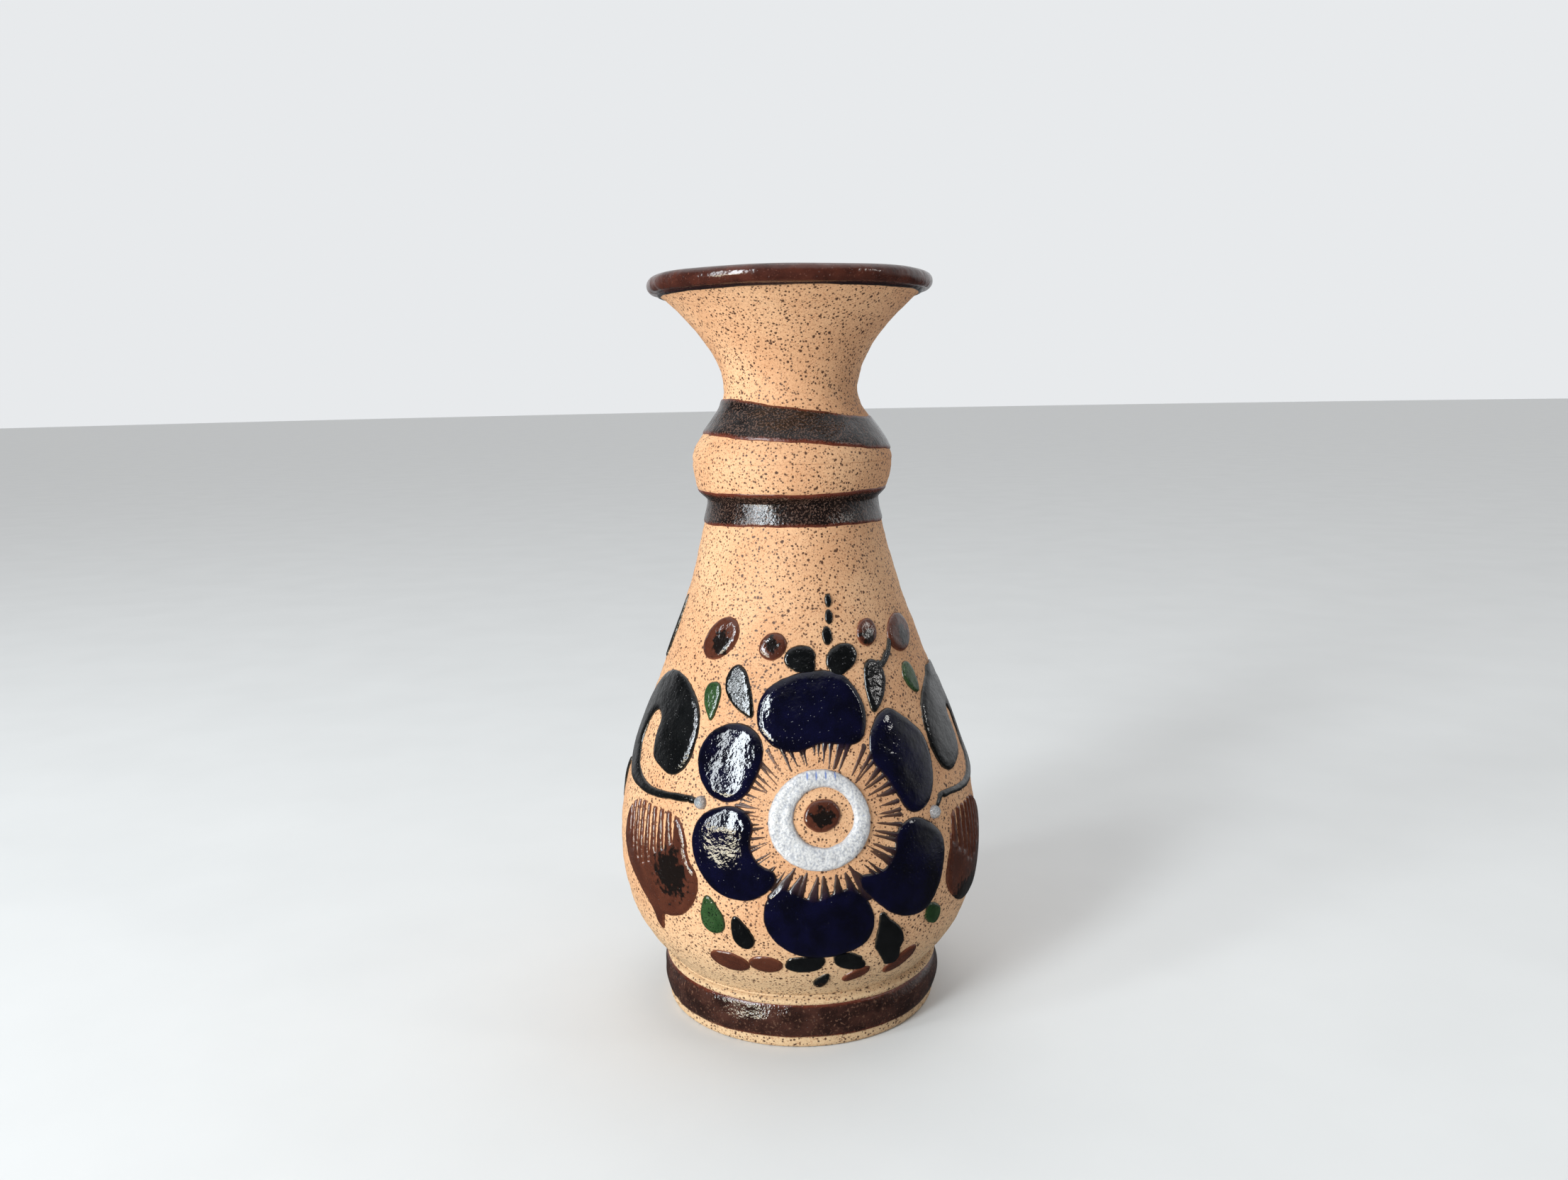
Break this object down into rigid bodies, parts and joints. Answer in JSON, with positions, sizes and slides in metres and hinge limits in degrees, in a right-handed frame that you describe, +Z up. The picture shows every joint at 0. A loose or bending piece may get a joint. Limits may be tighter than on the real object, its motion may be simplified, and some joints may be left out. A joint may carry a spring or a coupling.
{
  "type": "vase",
  "caption": "Small hand-painted stoneware bud vase: pear-shaped body, ringed collar, flared mouth, dark glaze bands and a blue flower in raised enamel.",
  "frame": {"origin": "centre of the foot, on the surface that the vase stands on", "axes": "+Z up the vase's axis, -Y out through the middle of the painted flower, +X to the right of the flower"},
  "size_m": [0.0522, 0.0536, 0.1045],
  "materials": {
    "clay": "matte, iron speckled",
    "band_glaze": "gloss, speckled brown-black",
    "rim_glaze": "gloss, red-brown",
    "lining_glaze": "satin, honey",
    "cobalt_enamel": "gloss, deep cobalt",
    "black_enamel": "gloss, green-black",
    "brown_enamel": "gloss, red-brown",
    "green_enamel": "gloss, mottled copper green",
    "white_enamel": "satin, crystalline blue-white"
  },
  "bodies": {
    "root": {"vessel_body": "clay", "neck": "clay", "foot_ring": "clay", "lining_glaze": "lining_glaze", "rim_glaze": "rim_glaze", "upper_band_glaze": "band_glaze", "groove_band_glaze": "band_glaze", "foot_band_glaze": "band_glaze", "back_bud": "brown_enamel", "back_dash_left": "brown_enamel", "back_dash_right": "brown_enamel", "back_dot_left": "brown_enamel", "back_dot_right": "brown_enamel", "back_leaf_black_left": "black_enamel", "back_leaf_black_right": "black_enamel", "back_leaf_green_left": "green_enamel", "back_leaf_green_right": "green_enamel", "back_stem": "black_enamel", "bud_left": "brown_enamel", "bud_right": "brown_enamel", "dash_black_left": "black_enamel", "dash_black_right": "black_enamel", "dash_brown_left_1": "brown_enamel", "dash_brown_left_2": "brown_enamel", "dash_brown_right_1": "brown_enamel", "dash_brown_right_2": "brown_enamel", "dot_large_left": "brown_enamel", "dot_large_right": "brown_enamel", "dot_small_left": "brown_enamel", "dot_small_right": "brown_enamel", "dot_stem_right": "black_enamel", "drop_black": "black_enamel", "flower_eye": "brown_enamel", "flower_ring": "white_enamel", "leaf_black_lower_left": "black_enamel", "leaf_black_lower_right": "black_enamel", "leaf_black_upper_left": "black_enamel", "leaf_black_upper_right": "black_enamel", "leaf_green_lower_left": "green_enamel", "leaf_green_lower_right": "green_enamel", "leaf_green_upper_left": "green_enamel", "leaf_green_upper_right": "green_enamel", "pearl_left": "white_enamel", "pearl_right": "white_enamel", "petal_bottom": "cobalt_enamel", "petal_lower_left": "cobalt_enamel", "petal_lower_right": "cobalt_enamel", "petal_top": "cobalt_enamel", "petal_upper_left": "cobalt_enamel", "petal_upper_right": "cobalt_enamel", "scroll_left": "black_enamel", "scroll_right": "black_enamel", "sepal_left": "black_enamel", "sepal_right": "black_enamel", "tip_dash_1": "black_enamel", "tip_dash_2": "black_enamel", "tip_dash_3": "black_enamel"}
  },
  "joints": []
}
